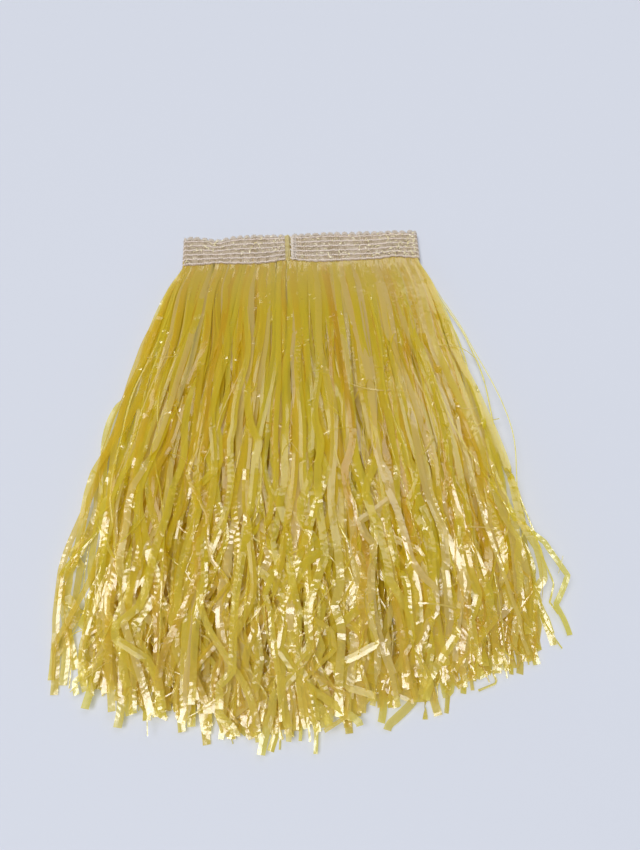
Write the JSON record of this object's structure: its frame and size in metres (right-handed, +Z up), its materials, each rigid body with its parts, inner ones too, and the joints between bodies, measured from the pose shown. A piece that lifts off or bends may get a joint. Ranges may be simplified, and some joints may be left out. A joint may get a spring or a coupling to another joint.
{
  "type": "hula skirt",
  "caption": "Party hula skirt lying flat: gathered film ribbons hang from a knitted elastic waistband with a picot edge; front locks lift, back locks fan and the waist opens.",
  "frame": {"origin": "middle of the underside of the whole skirt, on the surface that it lies on", "axes": "X along the waist, +Y from the hem towards the waistband, +Z up out of the front layer"},
  "size_m": [0.3204, 0.4, 0.03],
  "materials": {
    "ribbon_film": "translucent glossy yellow plastic film, crinkled",
    "picot_film": "translucent yellow film folded over into small loops",
    "band_web": "film ribbon held in a chain-knitted web",
    "elastic": "cream knitted elastic chain, matt with a slight sheen",
    "seam_thread": "zigzag sewing thread"
  },
  "bodies": {
    "waistband_back": {"waistband_back": "band_web", "picot_edge_back": "picot_film", "waistband_fold_left": "band_web", "waistband_fold_right": "band_web", "elastic_back_1": "elastic", "elastic_back_2": "elastic", "elastic_back_3": "elastic", "elastic_back_4": "elastic", "elastic_back_5": "elastic", "elastic_back_6": "elastic"},
    "waistband_front": {"waistband_front_left": "band_web", "waistband_front_right": "band_web", "end_seam": "seam_thread", "picot_edge_front_left": "picot_film", "picot_edge_front_right": "picot_film", "elastic_front_left_1": "elastic", "elastic_front_left_2": "elastic", "elastic_front_left_3": "elastic", "elastic_front_left_4": "elastic", "elastic_front_left_5": "elastic", "elastic_front_left_6": "elastic", "elastic_front_right_1": "elastic", "elastic_front_right_2": "elastic", "elastic_front_right_3": "elastic", "elastic_front_right_4": "elastic", "elastic_front_right_5": "elastic", "elastic_front_right_6": "elastic"},
    "fringe_front_1": {"fringe_front_1": "ribbon_film"},
    "fringe_front_2": {"fringe_front_2": "ribbon_film"},
    "fringe_front_3": {"fringe_front_3": "ribbon_film"},
    "fringe_front_4": {"fringe_front_4": "ribbon_film"},
    "fringe_front_5": {"fringe_front_5": "ribbon_film"},
    "fringe_front_6": {"fringe_front_6": "ribbon_film"},
    "fringe_front_7": {"fringe_front_7": "ribbon_film"},
    "fringe_front_8": {"fringe_front_8": "ribbon_film"},
    "fringe_back_1": {"fringe_back_1": "ribbon_film"},
    "fringe_back_2": {"fringe_back_2": "ribbon_film"},
    "fringe_back_3": {"fringe_back_3": "ribbon_film"},
    "fringe_back_4": {"fringe_back_4": "ribbon_film"},
    "fringe_back_5": {"fringe_back_5": "ribbon_film"},
    "fringe_back_6": {"fringe_back_6": "ribbon_film"},
    "fringe_back_7": {"fringe_back_7": "ribbon_film"},
    "fringe_back_8": {"fringe_back_8": "ribbon_film"}
  },
  "joints": [
    {"name": "waist_open", "type": "slide", "parent": "waistband_back", "child": "waistband_front", "axis": [0, 0, 1], "range_m": [0, 0.06], "stiffness_N_per_m": 40, "deforming": ["waistband_fold_left", "waistband_fold_right"]},
    {"name": "front_lift_1", "type": "hinge", "parent": "waistband_front", "child": "fringe_front_1", "pos_m": [-0.08969, 0.1675, 0.008], "axis": [-1, 0, 0], "range_deg": [0, 120]},
    {"name": "front_lift_2", "type": "hinge", "parent": "waistband_front", "child": "fringe_front_2", "pos_m": [-0.06406, 0.1675, 0.008], "axis": [-1, 0, 0], "range_deg": [0, 120]},
    {"name": "front_lift_3", "type": "hinge", "parent": "waistband_front", "child": "fringe_front_3", "pos_m": [-0.03844, 0.1675, 0.008], "axis": [-1, 0, 0], "range_deg": [0, 120]},
    {"name": "front_lift_4", "type": "hinge", "parent": "waistband_front", "child": "fringe_front_4", "pos_m": [-0.01281, 0.1675, 0.008], "axis": [-1, 0, 0], "range_deg": [0, 120]},
    {"name": "front_lift_5", "type": "hinge", "parent": "waistband_front", "child": "fringe_front_5", "pos_m": [0.01281, 0.1675, 0.008], "axis": [-1, 0, 0], "range_deg": [0, 120]},
    {"name": "front_lift_6", "type": "hinge", "parent": "waistband_front", "child": "fringe_front_6", "pos_m": [0.03844, 0.1675, 0.008], "axis": [-1, 0, 0], "range_deg": [0, 120]},
    {"name": "front_lift_7", "type": "hinge", "parent": "waistband_front", "child": "fringe_front_7", "pos_m": [0.06406, 0.1675, 0.008], "axis": [-1, 0, 0], "range_deg": [0, 120]},
    {"name": "front_lift_8", "type": "hinge", "parent": "waistband_front", "child": "fringe_front_8", "pos_m": [0.08969, 0.1675, 0.008], "axis": [-1, 0, 0], "range_deg": [0, 120]},
    {"name": "back_fan_8", "type": "hinge", "parent": "waistband_back", "child": "fringe_back_8", "pos_m": [0.08969, 0.1675, 0.0018], "axis": [0, 0, 1], "range_deg": [0, 18]},
    {"name": "back_fan_7", "type": "hinge", "parent": "waistband_back", "child": "fringe_back_7", "pos_m": [0.06406, 0.1675, 0.0018], "axis": [0, 0, 1], "range_deg": [0, 12.86]},
    {"name": "back_fan_6", "type": "hinge", "parent": "waistband_back", "child": "fringe_back_6", "pos_m": [0.03844, 0.1675, 0.0018], "axis": [0, 0, 1], "range_deg": [0, 7.71]},
    {"name": "back_fan_5", "type": "hinge", "parent": "waistband_back", "child": "fringe_back_5", "pos_m": [0.01281, 0.1675, 0.0018], "axis": [0, 0, 1], "range_deg": [0, 2.57]},
    {"name": "back_fan_4", "type": "hinge", "parent": "waistband_back", "child": "fringe_back_4", "pos_m": [-0.01281, 0.1675, 0.0018], "axis": [0, 0, 1], "range_deg": [-2.57, 0]},
    {"name": "back_fan_3", "type": "hinge", "parent": "waistband_back", "child": "fringe_back_3", "pos_m": [-0.03844, 0.1675, 0.0018], "axis": [0, 0, 1], "range_deg": [-7.71, 0]},
    {"name": "back_fan_2", "type": "hinge", "parent": "waistband_back", "child": "fringe_back_2", "pos_m": [-0.06406, 0.1675, 0.0018], "axis": [0, 0, 1], "range_deg": [-12.86, 0]},
    {"name": "back_fan_1", "type": "hinge", "parent": "waistband_back", "child": "fringe_back_1", "pos_m": [-0.08969, 0.1675, 0.0018], "axis": [0, 0, 1], "range_deg": [-18, 0]}
  ],
  "couplings": [
    {"joint": "back_fan_7", "follows": "back_fan_8", "ratio": 0.71429},
    {"joint": "back_fan_6", "follows": "back_fan_8", "ratio": 0.42857},
    {"joint": "back_fan_5", "follows": "back_fan_8", "ratio": 0.14286},
    {"joint": "back_fan_4", "follows": "back_fan_8", "ratio": -0.14286},
    {"joint": "back_fan_3", "follows": "back_fan_8", "ratio": -0.42857},
    {"joint": "back_fan_2", "follows": "back_fan_8", "ratio": -0.71429},
    {"joint": "back_fan_1", "follows": "back_fan_8", "ratio": -1}
  ]
}
